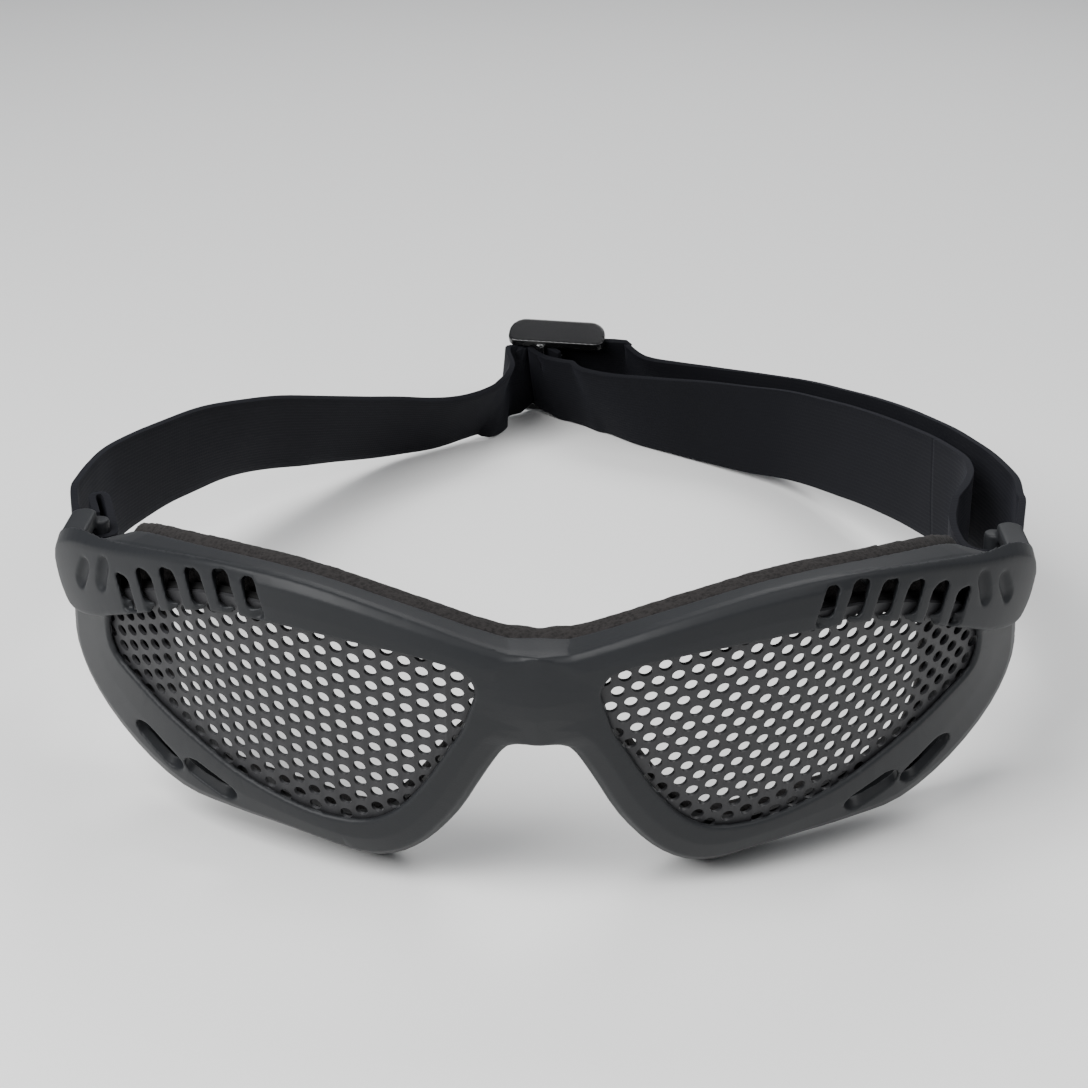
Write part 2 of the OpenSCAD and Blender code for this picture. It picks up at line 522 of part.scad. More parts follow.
module tab_stitching() {
    color([0.05, 0.05, 0.06])
    slider_placed() translate([fold_u, core_v, -0.4 * strap_w]) rotate([0, 0, tab_turn])
    translate([tab_len - 3, fold_r + tab_t / 2 + 0.35, 0]) rotate([90, 0, 0]) zigzag(0.8 * strap_w, 1.4, 0.8);
}
frame();
right_mesh_lens();
left_mesh_lens();
right_lens_retainer();
left_lens_retainer();
face_foam();
right_strap_end();
end_stitching();
left_strap_loop();
strap_long_run();
strap_inner_run();
slider();
slider_tab();
tab_stitching();
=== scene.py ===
import math

import bpy
from mathutils import Matrix, Vector


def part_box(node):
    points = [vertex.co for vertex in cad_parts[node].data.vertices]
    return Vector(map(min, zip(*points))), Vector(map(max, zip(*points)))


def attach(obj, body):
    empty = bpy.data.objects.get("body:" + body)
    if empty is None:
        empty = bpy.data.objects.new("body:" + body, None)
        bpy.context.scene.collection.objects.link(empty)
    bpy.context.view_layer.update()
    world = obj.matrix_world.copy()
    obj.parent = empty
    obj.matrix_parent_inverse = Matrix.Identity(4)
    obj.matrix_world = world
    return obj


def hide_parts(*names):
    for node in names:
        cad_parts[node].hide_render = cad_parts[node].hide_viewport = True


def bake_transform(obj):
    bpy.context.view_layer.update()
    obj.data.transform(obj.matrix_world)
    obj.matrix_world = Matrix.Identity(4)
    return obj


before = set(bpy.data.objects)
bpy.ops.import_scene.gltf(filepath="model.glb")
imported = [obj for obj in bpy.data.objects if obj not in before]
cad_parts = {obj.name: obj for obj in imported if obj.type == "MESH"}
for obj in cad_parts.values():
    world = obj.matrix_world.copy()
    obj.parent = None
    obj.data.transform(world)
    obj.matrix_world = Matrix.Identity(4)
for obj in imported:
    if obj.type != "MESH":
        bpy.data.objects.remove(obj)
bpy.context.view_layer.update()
frameFront = -2.917  # the frame's foremost point before the part's own shift along Y, in mm
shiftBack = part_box("frame")[0].y * 1000 - frameFront
mergeDistance = 0.00001
smoothFactor = 0.5
softAngle = math.radians(40)  # edges sharper than this stay sharp
print("frame loaded")


def inMetres(x, y, z):
    return Vector((x, y + shiftBack, z)) / 1000


def selectOnly(item):
    bpy.ops.object.select_all(action="DESELECT")
    item.hide_set(False)
    item.select_set(True)
    bpy.context.view_layer.objects.active = item


def applyModifier(item, kind, **values):
    modifier = item.modifiers.new(kind.lower(), kind)
    for name, value in values.items():
        setattr(modifier, name, value)
    selectOnly(item)
    bpy.ops.object.modifier_apply(modifier=modifier.name)


def copyOfNode(nodeName, pieceName):
    piece = bpy.data.objects.new(pieceName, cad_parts[nodeName].data.copy())
    bpy.context.scene.collection.objects.link(piece)
    piece.data.materials.clear()
    selectOnly(piece)
    bpy.ops.object.mode_set(mode="EDIT")
    bpy.ops.mesh.select_all(action="SELECT")
    bpy.ops.mesh.remove_doubles(threshold=mergeDistance)
    bpy.ops.object.mode_set(mode="OBJECT")
    return piece


def newGrid(pieceName, columns, rows):
    bpy.ops.object.select_all(action="DESELECT")
    bpy.ops.mesh.primitive_grid_add(x_subdivisions=columns, y_subdivisions=rows, size=1)
    grid = bpy.context.object
    grid.name = pieceName
    return grid


def roundOff(piece, look):
    applyModifier(piece, "REMESH", mode="VOXEL", voxel_size=look["voxel"], use_smooth_shade=True)
    applyModifier(piece, "SMOOTH", factor=smoothFactor, iterations=look["smoothing"])


def faceOutwards(piece):
    selectOnly(piece)
    bpy.ops.object.mode_set(mode="EDIT")
    bpy.ops.mesh.select_all(action="SELECT")
    bpy.ops.mesh.normals_make_consistent(inside=False)
    bpy.ops.object.mode_set(mode="OBJECT")
    bpy.ops.object.shade_smooth_by_angle(angle=softAngle)


def shadeSmooth(piece):
    selectOnly(piece)
    bpy.ops.object.shade_smooth()


def settle(piece, material, body, slotName, *nodeNames):
    piece.data.materials.clear()
    piece.data.materials.append(material)
    if body:
        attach(piece, body)
    if nodeNames:
        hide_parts(*nodeNames)


# Camera at the photograph's angle: angles in degrees, place and lens in mm
shot = {
    "height": 22, "round": 1.0, "roll": 0.5,
    "place": (5.857, -297.563, 182.289),
    "lens": 76.43, "sensor": 36, "clip": 0.01,
}


def makeCamera():
    tilt, turn, roll = (math.radians(shot[k]) for k in ("height", "round", "roll"))
    back = Vector((math.sin(turn) * math.cos(tilt), -math.cos(turn) * math.cos(tilt), math.sin(tilt)))
    right = Vector((math.cos(turn), math.sin(turn), 0))
    up = back.cross(right)
    rolledRight = math.cos(roll) * right + math.sin(roll) * up
    rolledUp = math.cos(roll) * up - math.sin(roll) * right
    bpy.ops.object.camera_add()
    camera = bpy.context.object
    camera.name = "photoCamera"
    turned = Matrix((rolledRight, rolledUp, back)).transposed().to_4x4()
    camera.matrix_world = Matrix.Translation(inMetres(*shot["place"])) @ turned
    camera.data.lens = shot["lens"]
    camera.data.sensor_width = shot["sensor"]
    camera.data.clip_start = shot["clip"]
    bpy.context.scene.camera = camera


makeCamera()
print("camera placed")

studio = {
    "floor": 3.0, "floorColor": (0.8, 0.8, 0.79), "floorRough": 0.85,
    "skyColor": (0.9, 0.93, 1.0), "skyStrength": 0.28,
    # place, aim, size and power of each soft box
    "boxes": [
        ((-0.4, -0.5, 0.6), (0, -0.05, 0.02), 0.55, 13),
        ((0.45, -0.35, 0.6), (0, -0.05, 0.03), 0.5, 3),
        ((0.1, 0.6, 0.75), (0, 0.05, 0.02), 0.5, 4),
    ],
}


def makeFloor():
    bpy.ops.mesh.primitive_plane_add(size=studio["floor"])
    floor = bpy.context.object
    floor.name = "paleFloor"
    paint = bpy.data.materials.new("palePaper")
    paint.use_nodes = True
    shader = paint.node_tree.nodes["Principled BSDF"]
    shader.inputs["Base Color"].default_value = (*studio["floorColor"], 1)
    shader.inputs["Roughness"].default_value = studio["floorRough"]
    floor.data.materials.append(paint)


def makeLights():
    world = bpy.data.worlds.new("softSky")
    world.use_nodes = True
    sky = world.node_tree.nodes["Background"]
    sky.inputs["Color"].default_value = (*studio["skyColor"], 1)
    sky.inputs["Strength"].default_value = studio["skyStrength"]
    bpy.context.scene.world = world
    for place, aim, size, power in studio["boxes"]:
        bpy.ops.object.light_add(type="AREA", location=place)
        box = bpy.context.object
        box.data.size = size
        box.data.energy = power
        box.rotation_euler = (Vector(aim) - Vector(place)).to_track_quat("-Z", "Y").to_euler()


makeFloor()
makeLights()
print("studio built")


# Shared effects: each group puts out masks and heights only
def newGroup(name, inputs, outputs):
    group = bpy.data.node_groups.new(name, "ShaderNodeTree")
    for title, kind, value in inputs:
        socket = group.interface.new_socket(name=title, in_out="INPUT", socket_type=kind)
        if value is not None:
            socket.default_value = value
    for title in outputs:
        group.interface.new_socket(name=title, in_out="OUTPUT", socket_type="NodeSocketFloat")
    entry = group.nodes.new("NodeGroupInput")
    leave = group.nodes.new("NodeGroupOutput")
    return group, entry, leave


def calculate(tree, operation, first, second=None):
    node = tree.nodes.new("ShaderNodeMath")
    node.operation = operation
    for socket, value in zip(node.inputs, (first, second)):
        if isinstance(value, (int, float)):
            socket.default_value = value
        elif value is not None:
            tree.links.new(value, socket)
    return node.outputs[0]


def weighted(tree, first, second, share):
    return calculate(tree, "ADD", calculate(tree, "MULTIPLY", first, share),
                     calculate(tree, "MULTIPLY", second, 1 - share))


grainDetail = {"Grain Scale": 3, "Cloud Scale": 4}


def grainGroup():
    group, entry, leave = newGroup(
        "mouldedGrain",
        [("Vector", "NodeSocketVector", None), ("Grain Scale", "NodeSocketFloat", 4000),
         ("Cloud Scale", "NodeSocketFloat", 60)],
        ["Height", "Cloud"])
    for scale, title in (("Grain Scale", "Height"), ("Cloud Scale", "Cloud")):
        noise = group.nodes.new("ShaderNodeTexNoise")
        noise.inputs["Detail"].default_value = grainDetail[scale]
        group.links.new(entry.outputs["Vector"], noise.inputs["Vector"])
        group.links.new(entry.outputs[scale], noise.inputs["Scale"])
        group.links.new(noise.outputs["Fac"], leave.inputs[title])
    return group


weaveShape = {"stagger": 0.5, "ribShare": 0.6, "weaveShare": 0.75, "fuzzScale": 5000, "furrowPower": 0.6}


def elasticGroup():
    group, entry, leave = newGroup(
        "wovenElastic",
        [("Vector", "NodeSocketVector", None), ("Rib Pitch", "NodeSocketFloat", 0.0011),
         ("Pick Pitch", "NodeSocketFloat", 0.0009)],
        ["Height", "Furrow"])

    def wave(count):
        turned = calculate(group, "MULTIPLY", count, math.pi)
        return calculate(group, "ABSOLUTE", calculate(group, "SINE", turned))

    split = group.nodes.new("ShaderNodeSeparateXYZ")
    group.links.new(entry.outputs["Vector"], split.inputs[0])
    rib = calculate(group, "DIVIDE", split.outputs["Y"], entry.outputs["Rib Pitch"])
    pick = calculate(group, "DIVIDE", split.outputs["X"], entry.outputs["Pick Pitch"])
    stagger = calculate(group, "MULTIPLY", calculate(group, "FLOOR", rib), weaveShape["stagger"])
    woven = weighted(group, wave(rib), wave(calculate(group, "ADD", pick, stagger)), weaveShape["ribShare"])
    fuzz = group.nodes.new("ShaderNodeTexNoise")
    fuzz.inputs["Scale"].default_value = weaveShape["fuzzScale"]
    group.links.new(entry.outputs["Vector"], fuzz.inputs["Vector"])
    height = weighted(group, woven, fuzz.outputs["Fac"], weaveShape["weaveShare"])
    group.links.new(height, leave.inputs["Height"])
    group.links.new(calculate(group, "POWER", woven, weaveShape["furrowPower"]), leave.inputs["Furrow"])
    return group


cellShape = {"smaller": 2.3, "largeShare": 0.6, "poreDepth": 1.6}


def foamGroup():
    group, entry, leave = newGroup(
        "openCells", [("Vector", "NodeSocketVector", None), ("Cell Scale", "NodeSocketFloat", 1800)],
        ["Height", "Pore"])
    cells = group.nodes.new("ShaderNodeTexVoronoi")
    small = group.nodes.new("ShaderNodeTexVoronoi")
    smallScale = calculate(group, "MULTIPLY", entry.outputs["Cell Scale"], cellShape["smaller"])
    for node, scale in ((cells, entry.outputs["Cell Scale"]), (small, smallScale)):
        group.links.new(entry.outputs["Vector"], node.inputs["Vector"])
        group.links.new(scale, node.inputs["Scale"])
    both = weighted(group, cells.outputs["Distance"], small.outputs["Distance"], cellShape["largeShare"])
    group.links.new(both, leave.inputs["Height"])
    group.links.new(calculate(group, "MULTIPLY", both, cellShape["poreDepth"]), leave.inputs["Pore"])
    return group


flatPointiness = 0.5


def rubbedGroup():
    group, entry, leave = newGroup("rubbedEdges", [("Strength", "NodeSocketFloat", 6)], ["Mask"])
    shape = group.nodes.new("ShaderNodeNewGeometry")
    raised = calculate(group, "SUBTRACT", shape.outputs["Pointiness"], flatPointiness)
    mask = calculate(group, "MULTIPLY", raised, entry.outputs["Strength"])
    limited = calculate(group, "MAXIMUM", calculate(group, "MINIMUM", mask, 1), 0)
    group.links.new(limited, leave.inputs["Mask"])
    return group


grain, elastic, openCells, rubbed = grainGroup(), elasticGroup(), foamGroup(), rubbedGroup()
print("effects built")


def newMaterial(name, coordinates="Object"):
    material = bpy.data.materials.new(name)
    material.use_nodes = True
    tree = material.node_tree
    place = tree.nodes.new("ShaderNodeTexCoord")
    return material, tree, tree.nodes["Principled BSDF"], place.outputs[coordinates]


def useGroup(tree, group, vector=None, **values):
    node = tree.nodes.new("ShaderNodeGroup")
    node.node_tree = group
    if vector is not None:
        tree.links.new(vector, node.inputs["Vector"])
    for name, value in values.items():
        node.inputs[name.replace("_", " ")].default_value = value
    return node


def mixColors(tree, factor, dark, light):
    mix = tree.nodes.new("ShaderNodeMix")
    mix.data_type = "RGBA"
    tree.links.new(factor, mix.inputs["Factor"])
    for socket, value in ((mix.inputs["A"], dark), (mix.inputs["B"], light)):
        if isinstance(value, tuple):
            socket.default_value = (*value, 1)
        else:
            tree.links.new(value, socket)
    return mix.outputs["Result"]


def span(tree, value, low, high):
    node = tree.nodes.new("ShaderNodeMapRange")
    tree.links.new(value, node.inputs["Value"])
    node.inputs["To Min"].default_value = low
    node.inputs["To Max"].default_value = high
    return node.outputs["Result"]


def bumpFrom(tree, shader, height, strength, distance):
    bump = tree.nodes.new("ShaderNodeBump")
    bump.inputs["Strength"].default_value = strength
    bump.inputs["Distance"].default_value = distance
    tree.links.new(height, bump.inputs["Height"])
    tree.links.new(bump.outputs["Normal"], shader.inputs["Normal"])


# Plain plastics and coated sheet: base colours, roughness range, specular level, grain, bump and coat
finishes = {
    "charcoal": {
        "dark": (0.0085, 0.0092, 0.0104), "light": (0.0128, 0.0138, 0.0155), "worn": (0.019, 0.0203, 0.022),
        "rough": (0.42, 0.54), "shine": 0.2, "grain": 4000, "bump": 0.16, "coat": 0,
    },
    "ringPlastic": {
        "dark": (0.005, 0.005, 0.0055), "light": (0.009, 0.009, 0.0095), "worn": (0.014, 0.014, 0.014),
        "rough": (0.5, 0.65), "shine": 0.25, "grain": 4000, "bump": 0.12, "coat": 0,
    },
    "coatedSheet": {
        "dark": (0.0045, 0.0045, 0.005), "light": (0.008, 0.008, 0.009), "worn": (0.03, 0.03, 0.032),
        "rough": (0.4, 0.52), "shine": 0.25, "grain": 2500, "bump": 0.1, "coat": 0,
    },
    "glossyBlack": {
        "dark": (0.003, 0.003, 0.0035), "light": (0.006, 0.006, 0.0065), "worn": (0.012, 0.012, 0.013),
        "rough": (0.2, 0.3), "shine": 0.4, "grain": 1500, "bump": 0.04, "coat": 0.15,
    },
}
surfaceSkin = {"clouds": 55, "edgeWear": 5, "coatRough": 0.12, "bumpDepth": 0.0001}


def mouldedPlastic(name):
    look = finishes[name]
    material, tree, shader, where = newMaterial(name)
    skin = useGroup(tree, grain, where, Grain_Scale=look["grain"], Cloud_Scale=surfaceSkin["clouds"])
    edges = useGroup(tree, rubbed, None, Strength=surfaceSkin["edgeWear"])
    cloudy = mixColors(tree, skin.outputs["Cloud"], look["dark"], look["light"])
    rubbedColor = mixColors(tree, edges.outputs["Mask"], cloudy, look["worn"])
    tree.links.new(rubbedColor, shader.inputs["Base Color"])
    tree.links.new(span(tree, skin.outputs["Cloud"], *look["rough"]), shader.inputs["Roughness"])
    shader.inputs["Specular IOR Level"].default_value = look["shine"]
    shader.inputs["Coat Weight"].default_value = look["coat"]
    shader.inputs["Coat Roughness"].default_value = surfaceSkin["coatRough"]
    bumpFrom(tree, shader, skin.outputs["Height"], look["bump"], surfaceSkin["bumpDepth"])
    return material


webbingLook = {
    "dark": (0.0022, 0.0023, 0.0032), "light": (0.0042, 0.0044, 0.006),
    "rough": (0.75, 0.9), "shine": 0.12,
    "rib": 0.0008, "pick": 0.0007,
    "sheen": 0.02, "sheenRough": 0.5, "sheenTint": (0.75, 0.78, 1, 1),
    "bump": 0.3, "bumpDepth": 0.0002,
}


def wovenWebbing():
    look = webbingLook
    material, tree, shader, where = newMaterial("wovenWebbing", "UV")
    weave = useGroup(tree, elastic, where, Rib_Pitch=look["rib"], Pick_Pitch=look["pick"])
    color = mixColors(tree, weave.outputs["Furrow"], look["dark"], look["light"])
    tree.links.new(color, shader.inputs["Base Color"])
    tree.links.new(span(tree, weave.outputs["Height"], *look["rough"]), shader.inputs["Roughness"])
    shader.inputs["Specular IOR Level"].default_value = look["shine"]
    shader.inputs["Sheen Weight"].default_value = look["sheen"]
    shader.inputs["Sheen Roughness"].default_value = look["sheenRough"]
    shader.inputs["Sheen Tint"].default_value = look["sheenTint"]
    bumpFrom(tree, shader, weave.outputs["Height"], look["bump"], look["bumpDepth"])
    return material


foamLook = {
    "pore": (0.003, 0.003, 0.003), "wall": (0.019, 0.0172, 0.0168),
    "cells": 1500, "rough": 0.95, "shine": 0.15, "sheen": 0.03,
    "bump": 0.6, "bumpDepth": 0.0003,
}


def cellFoam():
    look = foamLook
    material, tree, shader, where = newMaterial("cellFoam")
    cells = useGroup(tree, openCells, where, Cell_Scale=look["cells"])
    color = mixColors(tree, cells.outputs["Pore"], look["pore"], look["wall"])
    tree.links.new(color, shader.inputs["Base Color"])
    shader.inputs["Roughness"].default_value = look["rough"]
    shader.inputs["Specular IOR Level"].default_value = look["shine"]
    shader.inputs["Sheen Weight"].default_value = look["sheen"]
    bumpFrom(tree, shader, cells.outputs["Height"], look["bump"], look["bumpDepth"])
    return material


threadLook = {
    "dark": (0.006, 0.006, 0.008), "light": (0.016, 0.016, 0.02),
    "grain": 9000, "clouds": 400, "rough": 0.6, "bump": 0.5, "bumpDepth": 0.0001,
}


def sewingThread():
    look = threadLook
    material, tree, shader, where = newMaterial("sewingThread")
    skin = useGroup(tree, grain, where, Grain_Scale=look["grain"], Cloud_Scale=look["clouds"])
    color = mixColors(tree, skin.outputs["Cloud"], look["dark"], look["light"])
    tree.links.new(color, shader.inputs["Base Color"])
    shader.inputs["Roughness"].default_value = look["rough"]
    bumpFrom(tree, shader, skin.outputs["Height"], look["bump"], look["bumpDepth"])
    return material


charcoal, ringPlastic, coatedSheet, glossyBlack = (mouldedPlastic(name) for name in finishes)
webbing, foamSkin, thread = wovenWebbing(), cellFoam(), sewingThread()
print("materials built")

moulding = {"voxel": 0.00026, "smoothing": 6, "triangles": 170000}


def makeMoulding():
    body = copyOfNode("frame", "frameMoulding")
    roundOff(body, moulding)
    # the remesh gives squares, so each face counts as two triangles
    applyModifier(body, "DECIMATE", ratio=moulding["triangles"] / (2 * len(body.data.polygons)))
    shadeSmooth(body)
    settle(body, charcoal, "goggles", "frame_plastic", "frame")


makeMoulding()
print("moulding finished")

for nodeName, coating in (
        ("right_mesh_lens", coatedSheet), ("left_mesh_lens", coatedSheet),
        ("right_lens_retainer", ringPlastic), ("left_lens_retainer", ringPlastic)):
    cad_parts[nodeName].data.materials.clear()
    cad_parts[nodeName].data.materials.append(coating)
print("sheets coated")

faceSeal = {"voxel": 0.0007, "smoothing": 8, "lumpSize": 0.0016, "lumps": 0.00022, "middle": 0.5, "fill": 0.85}
foamLumps = bpy.data.textures.new("foamLumps", "CLOUDS")
foamLumps.noise_scale = faceSeal["lumpSize"]


def roughen(piece, lumps):
    applyModifier(piece, "DISPLACE", texture=foamLumps, strength=lumps, mid_level=faceSeal["middle"])


def makeFaceSeal():
    seal = copyOfNode("face_foam", "faceSeal")
    roundOff(seal, faceSeal)
    roughen(seal, faceSeal["lumps"])
    shadeSmooth(seal)
    settle(seal, foamSkin, "goggles", "foam", "face_foam")


makeFaceSeal()
print("face seal finished")

# Foam behind the brow vents, in mm: each edge runs by x and height along the tilted lens face
ventFoam = {
    "lower": ((37.7, 8.6), (43.4, 7.4), (46.1, 6.7), (48.6, 5.8), (51, 4.7), (53.3, 3.5), (55.7, 2.2), (58.3, 1),
              (60.7, -0.2), (62.9, -1.4)),
    "upper": ((38.2, 12.3), (43.7, 11.4), (46.4, 10.8), (49.1, 10), (52, 9.1), (54.9, 8.1), (58, 6.9),
              (61.1, 5.4), (64.2, 3.6), (67.3, 1.4)),
    "behind": 3.4, "thickness": 1, "rows": 3, "lumps": 0.00015, "fill": 0.9,
    "bevel": 0.0002, "bevelAngle": 60, "segments": 2, "levels": 2,
    # the lens face: its tilt in degrees, the height of its middle, and its bend across
    "tilt": 15.7, "faceHeight": 38, "lensRadius": 105, "cross": 5, "middle": 104.58,
}


def onLensFace(x, height, behind):
    look = ventFoam
    depth = look["middle"] - math.sqrt(look["lensRadius"] ** 2 - (abs(x) + look["cross"]) ** 2) + behind
    tilt = math.radians(look["tilt"])
    return inMetres(x, depth * math.cos(tilt) - height * math.sin(tilt),
                    look["faceHeight"] + height * math.cos(tilt) + depth * math.sin(tilt))


def makeVentFoam(pieceName, side):
    count = len(ventFoam["lower"]) - 1
    strip = newGrid(pieceName, count, ventFoam["rows"])
    for vertex in strip.data.vertices:
        i, share = round((vertex.co.x + 0.5) * count), vertex.co.y + 0.5
        low, high = ventFoam["lower"][i], ventFoam["upper"][i]
        x, height = (low[k] + share * (high[k] - low[k]) for k in (0, 1))
        vertex.co = onLensFace(side * x, height, ventFoam["behind"])
    applyModifier(strip, "SOLIDIFY", thickness=ventFoam["thickness"] / 1000, offset=0)
    applyModifier(strip, "BEVEL", width=ventFoam["bevel"], segments=ventFoam["segments"], limit_method="ANGLE",
                  angle_limit=math.radians(ventFoam["bevelAngle"]))
    applyModifier(strip, "SUBSURF", subdivision_type="SIMPLE", levels=ventFoam["levels"])
    roughen(strip, ventFoam["lumps"])
    faceOutwards(strip)
    settle(strip, foamSkin, "goggles", "foam")


makeVentFoam("rightVentFoam", -1)
makeVentFoam("leftVentFoam", 1)
print("vent foam finished")

# The webbing's route, in mm and degrees, by the same points as the part's own strap
route = {
    "width": 20, "thickness": 1.2,
    "barX": 72.4, "barY": 49.376, "barZ": 33.3,
    "slider": (0.3, 236.9, 12.852), "sliderTurn": -9, "sliderLean": 30,
    "foldU": -4.7, "foldV": -3.2, "foldTurn": -30,
    "step": 1.2, "across": 10,
    "bevel": 0.00035, "bevelAngle": 50, "segments": 2,
    # a slight waviness: its height, its length along, its shift across and the length of its swell
    "ripple": 0.1, "rippleLength": 4.3, "rippleShift": 0.5, "swellLength": 17,
    # how far behind the bars the strap bends, and between which points the inner band joins the slider
    "bendStart": 3, "bendEnd": 72, "bendHeight": 33, "joinSide": 70,
    "sliderBend": ((22, 214, 10), (4, 229, 10)),
}
turnSlider, leanSlider, turnFold = (math.radians(route[k]) for k in ("sliderTurn", "sliderLean", "foldTurn"))


# Each point is x, y, z, the webbing's lean in degrees, and how far the slider's own direction sets that lean
def sliderPoint(u, v, w=0):
    q = v * math.cos(leanSlider) - w * math.sin(leanSlider)
    x, y, z = route["slider"]
    place = (x + u * math.cos(turnSlider) - q * math.sin(turnSlider),
             y + u * math.sin(turnSlider) + q * math.cos(turnSlider),
             z + v * math.sin(leanSlider) + w * math.cos(leanSlider))
    return (*place, route["sliderLean"], 1)


def foldPoint(along, out, w=0):
    return sliderPoint(route["foldU"] + along * math.cos(turnFold) - out * math.sin(turnFold),
                       route["foldV"] + along * math.sin(turnFold) + out * math.cos(turnFold), w)


def headPoint(x, behind, z, lean, share=0):
    return (x, route["barY"] + behind, z, lean, share)


def barPoint(side, x, behind):
    return (side * (route["barX"] + x), route["barY"] + behind, route["barZ"], 0, 0)


sewnEnd = [barPoint(-1, *p) for p in (
    (2.1, 8), (3.2, 11.6), (4.2, 14.9), (4.1, 16.6), (2.9, 17.1), (2, 15.6), (1.1, 12.8), (0, 9), (-1.2, 5.2),
    (-2.3, 1.6), (-2.3, -1.4), (0, -2.7), (2.3, -1.2), (3.2, 2.2), (4.6, 6), (6.1, 10.5), (7.3, 15), (8.3, 20))]
longRun = [
    headPoint(-81, 24, 33, 0), headPoint(-81.45, 35, 32, 2), headPoint(-80.9, 50, 30.4, 6),
    headPoint(-77.8, 66, 28.6, 12), headPoint(-71.3, 85, 26.6, 18), headPoint(-61.5, 105.5, 22.9, 28),
    headPoint(-50, 124, 17.5, 33), headPoint(-40.5, 139.5, 12.8, 36), headPoint(-32.5, 149.5, 10, 38),
    headPoint(-25, 156, 9, 39), headPoint(-18.2, 162.4, 9.5, 38, 0.2), headPoint(-14.1, 168, 10.4, 32, 0.6),
    sliderPoint(-11.4, -9, 2), sliderPoint(-9, -5.2, -0.1), sliderPoint(-8, -2.9), sliderPoint(-6.5, -0.7),
    sliderPoint(-4.2, 0), sliderPoint(0, 0), sliderPoint(5, 0), sliderPoint(9.5, 0), sliderPoint(12.5, 0),
    sliderPoint(14.6, 0), sliderPoint(16.4, -0.4, -0.4), headPoint(22.5, 179, 10.7, 30, 0.5),
    headPoint(30.5, 171.8, 10.3, 21), headPoint(38.5, 163.6, 10.8, 10), headPoint(46.5, 154, 12.2, 2),
    headPoint(55, 141.5, 14.7, 0), headPoint(63, 124, 18.1, 0), headPoint(70.3, 103.5, 22, 0),
    headPoint(76.4, 80.5, 25.8, 0), headPoint(80.6, 57.5, 29, 0), headPoint(81.95, 38, 31.4, 0),
    headPoint(80.9, 24, 32.9, 0)]
barLoop = [barPoint(1, *p) for p in (
    (8.1, 20), (6.8, 14), (5.5, 8.5), (3.7, 2.6), (2.5, -1.1), (0, -2.8), (-2.9, -2.6), (-4.7, -0.2),
    (-5.4, 5.5), (-5, 12), (-3.6, 18.5))]
innerRun = [
    headPoint(5, 176, 9.5, 29, 1), headPoint(8.6, 171.6, 9.5, 29, 0.4), headPoint(15.5, 165.2, 9.7, 24),
    headPoint(24.5, 159.2, 10.2, 16), headPoint(34, 153.8, 10.6, 6), headPoint(42.8, 146.6, 11.5, 0),
    headPoint(51.2, 136, 13.9, 0), headPoint(59, 119.4, 17.2, 0), headPoint(66.2, 99, 21.2, 0),
    headPoint(72.2, 78, 24.8, 0), headPoint(75.6, 58.5, 28, 0), headPoint(75.2, 43, 30.6, 0),
    headPoint(72.6, 31, 32.3, 0), headPoint(69.6, 22, 33.2, 0)]
sewnFold = [foldPoint(*p) for p in (
    (6.5, -1.7, 0.8), (3.5, -1.6), (0.8, -1.6), (-1.13, -1.13), (-1.6, 0), (-1.13, 1.13), (0.8, 1.6), (3.5, 1.6),
    (5.8, 1.5))]


def withUp(points):
    made = []
    for k, (x, y, z, lean, share) in enumerate(points):
        before, after = points[max(0, k - 1)], points[min(len(points) - 1, k + 1)]
        ahead = Vector((after[0] - before[0], after[1] - before[1], 0))
        inward = Vector((ahead.y, -ahead.x, 0)).normalized() * (1 - share)
        inward += Vector((math.sin(turnSlider), -math.cos(turnSlider), 0)) * share
        lean = math.radians(lean)
        up = math.cos(lean) * Vector((0, 0, 1)) + math.sin(lean) * inward.normalized()
        made.append((Vector((x, y, z)), up))
    return made


# A smooth curve through the points, for place and up direction alike
def curveAt(points, k, t):
    a, b = points[max(0, k - 1)], points[k]
    c, d = points[min(len(points) - 1, k + 1)], points[min(len(points) - 1, k + 2)]
    return tuple(
        0.5 * (2 * b[i] + (c[i] - a[i]) * t + (2 * a[i] - 5 * b[i] + 4 * c[i] - d[i]) * t * t
               + (3 * b[i] - a[i] - 3 * c[i] + d[i]) * t ** 3) for i in (0, 1))


def stationsOf(points):
    samples = []
    for k in range(len(points) - 1):
        count = max(2, math.ceil((points[k + 1][0] - points[k][0]).length / route["step"]))
        samples += [curveAt(points, k, i / count) for i in range(count)]
    samples.append(points[-1])
    made, along = [], 0
    for k, (place, up) in enumerate(samples):
        before, after = samples[max(0, k - 1)][0], samples[min(len(samples) - 1, k + 1)][0]
        if k:
            along += (place - samples[k - 1][0]).length
        ahead = (after - before).normalized()
        face = up.cross(ahead).normalized()
        made.append({"place": place, "face": face, "up": ahead.cross(face), "along": along})
    return made


wholeRoute = withUp(sewnEnd) + withUp(longRun) + withUp(barLoop) + withUp(innerRun)[::-1] + withUp(sewnFold)
stations = stationsOf(wholeRoute)
print("webbing route", len(stations), "stations", round(stations[-1]["along"]), "mm")


def surfacePoint(station, across, out):
    spot = station["place"] + station["up"] * across + station["face"] * out
    return inMetres(*spot)


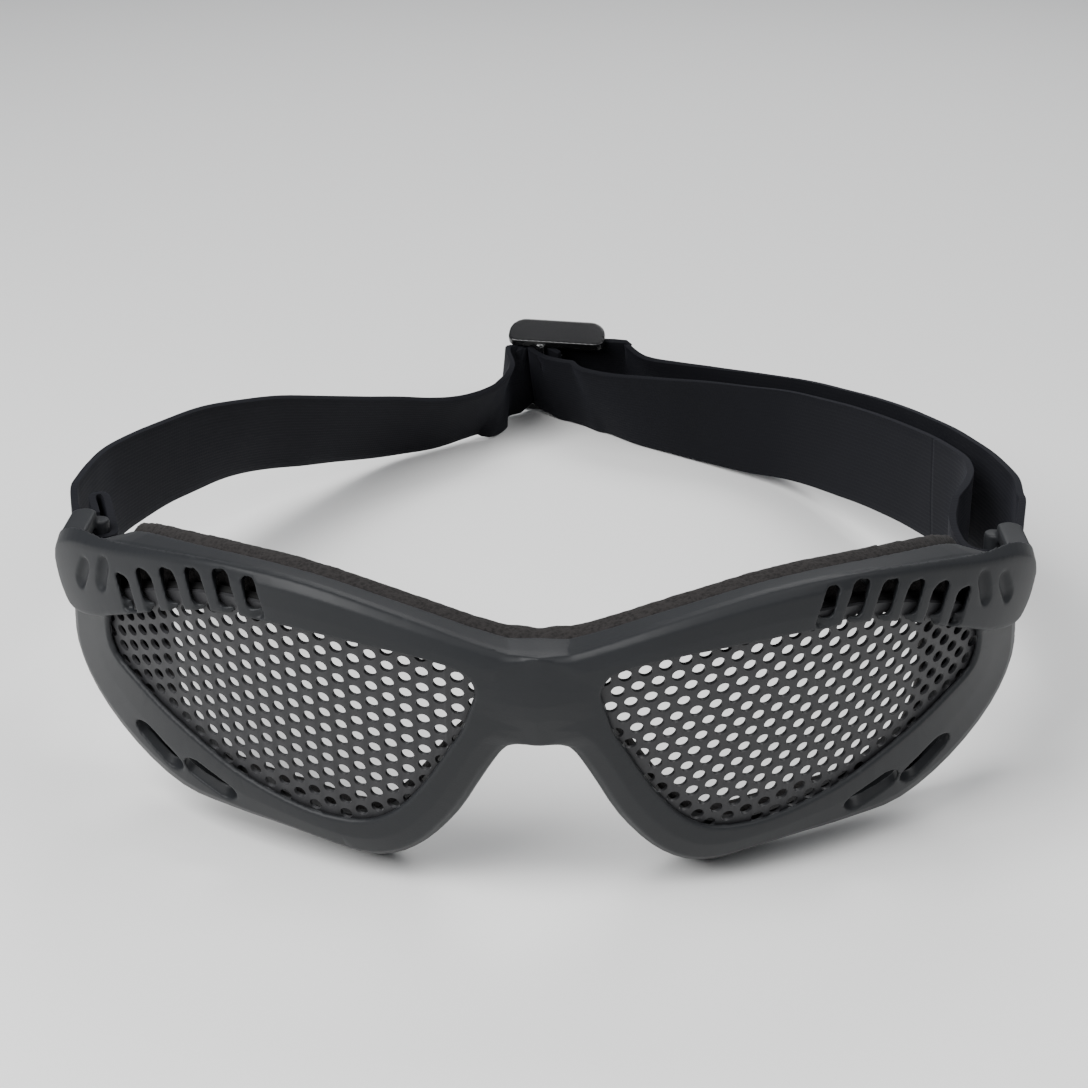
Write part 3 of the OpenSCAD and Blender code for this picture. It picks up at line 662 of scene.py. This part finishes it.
def makeWebbing(pieceName, part):
    count, across = len(part) - 1, route["across"]
    band = newGrid(pieceName, count, across)
    where = {}
    for vertex in band.data.vertices:
        i, j = round((vertex.co.x + 0.5) * count), round((vertex.co.y + 0.5) * across)
        along, width = part[i]["along"], route["width"] * (j / across - 0.5)
        where[vertex.index] = (along / 1000, width / 1000)
        wave = math.sin(along / route["rippleLength"] + j * route["rippleShift"])
        swell = math.sin(along / route["swellLength"])
        vertex.co = surfacePoint(part[i], width, route["ripple"] * wave * swell)
    uvs = band.data.uv_layers.active.data
    for loop in band.data.loops:
        uvs[loop.index].uv = where[loop.vertex_index]
    applyModifier(band, "SOLIDIFY", thickness=route["thickness"] / 1000, offset=0)
    applyModifier(band, "BEVEL", width=route["bevel"], segments=route["segments"], limit_method="ANGLE",
                  angle_limit=math.radians(route["bevelAngle"]))
    faceOutwards(band)
    return band


# The outer band ends, and the inner one starts, on the inner layer behind the wearer's left bar
bendStart, bendEnd = (route["barY"] + route[k] for k in ("bendStart", "bendEnd"))
joinIndex = max(
    i for i, s in enumerate(stations) if s["place"].x > route["joinSide"] and s["place"].y < bendEnd)
outerBand = makeWebbing("headBand", stations[:joinIndex + 1])
settle(outerBand, webbing, None, "webbing", "right_strap_end", "strap_long_run", "left_strap_loop")
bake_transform(outerBand)
innerBand = makeWebbing("adjusterBand", stations[joinIndex:])
settle(innerBand, webbing, None, "webbing", "strap_inner_run", "slider_tab")
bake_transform(innerBand)
print("webbing finished")

buckle = {"voxel": 0.00022, "smoothing": 7}


def makeBuckle():
    body = copyOfNode("slider", "adjusterBuckle")
    roundOff(body, buckle)
    shadeSmooth(body)
    settle(body, glossyBlack, "slider", "slider_plastic", "slider")


makeBuckle()
print("buckle finished")

# Zigzag of thread across the webbing, in mm
seams = {
    "thread": 0.16, "sides": 8, "length": 1.7, "bevel": 0.08, "segments": 2,
    "rows": 15, "reach": 0.85, "step": 1.4, "sunk": 0.4,
    "endPlace": (-72.8, 10.4, 33.3), "foldPlace": (4.5, 1.6),
}


def makeStitch():
    bpy.ops.object.select_all(action="DESELECT")
    bpy.ops.mesh.primitive_cylinder_add(
        vertices=seams["sides"], radius=seams["thread"] / 1000, depth=seams["length"] / 1000)
    stitch = bpy.context.object
    applyModifier(stitch, "BEVEL", width=seams["bevel"] / 1000, segments=seams["segments"], limit_method="ANGLE")
    bpy.ops.object.shade_smooth()
    return stitch


def makeTack(pieceName, near, body, nodeName):
    model = makeStitch()
    copies = []
    first = min(range(len(stations)), key=lambda i: (stations[i]["place"] - near).length)
    target = stations[first]["along"] + seams["step"]
    second = min(range(len(stations)), key=lambda i: abs(stations[i]["along"] - target))
    out = route["thickness"] / 2 + seams["thread"] * (1 - seams["sunk"])
    for k in range(seams["rows"]):
        low, high = ((row / seams["rows"] - 0.5) * route["width"] * seams["reach"] for row in (k, k + 1))
        ends = (first, second) if k % 2 == 0 else (second, first)
        a, b = surfacePoint(stations[ends[0]], low, out), surfacePoint(stations[ends[1]], high, out)
        copy = bpy.data.objects.new(pieceName + "Part", model.data.copy())
        bpy.context.scene.collection.objects.link(copy)
        turn = (b - a).to_track_quat("Z", "Y").to_matrix().to_4x4()
        copy.data.transform(Matrix.Translation((a + b) / 2) @ turn)
        copies.append(copy)
    bpy.data.objects.remove(model)
    bpy.ops.object.select_all(action="DESELECT")
    for copy in copies:
        copy.select_set(True)
    bpy.context.view_layer.objects.active = copies[0]
    bpy.ops.object.join()
    tack = bpy.context.object
    tack.name = pieceName
    settle(tack, thread, body, "thread", nodeName)


endX, endBehind, endZ = seams["endPlace"]
makeTack("endTack", Vector((endX, route["barY"] + endBehind, endZ)), "goggles", "end_stitching")
makeTack("foldTack", Vector(foldPoint(*seams["foldPlace"])[:3]), "slider", "tab_stitching")
print("seams finished")
